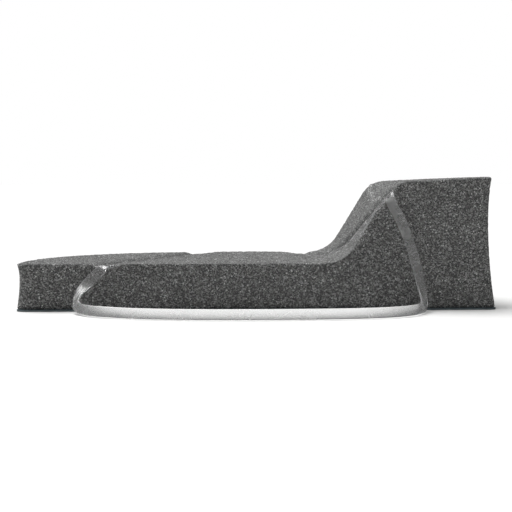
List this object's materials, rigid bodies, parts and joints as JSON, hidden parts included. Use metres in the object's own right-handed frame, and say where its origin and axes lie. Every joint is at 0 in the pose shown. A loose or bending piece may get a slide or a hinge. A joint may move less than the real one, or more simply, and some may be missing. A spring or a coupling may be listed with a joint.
{
  "type": "violin shoulder rest",
  "caption": "Strap-on violin shoulder rest: a stepped D-shaped foam pad on a thin grip sheet, with a clear endless elastic band that straps it to the violin's back.",
  "frame": {"origin": "centre of the flat underside, halfway along the length and halfway between the straight face and the curved edge", "axes": "+X along the length towards the thick end, +Y across towards the curved edge, +Z out of the violin's back, up when the pad lies on a table"},
  "size_m": [0.19, 0.1273, 0.0526],
  "materials": {
    "foam": "matte",
    "grip_rubber": "matte",
    "clear_elastic": "satin"
  },
  "bodies": {
    "pad": {"foam_pad": "foam", "grip_sheet": "grip_rubber"},
    "band": {"elastic_band": "clear_elastic"}
  },
  "joints": [
    {"name": "band_lift", "type": "slide", "parent": "pad", "child": "band", "axis": [0, 0, 1], "range_m": [0, 0.08]}
  ]
}
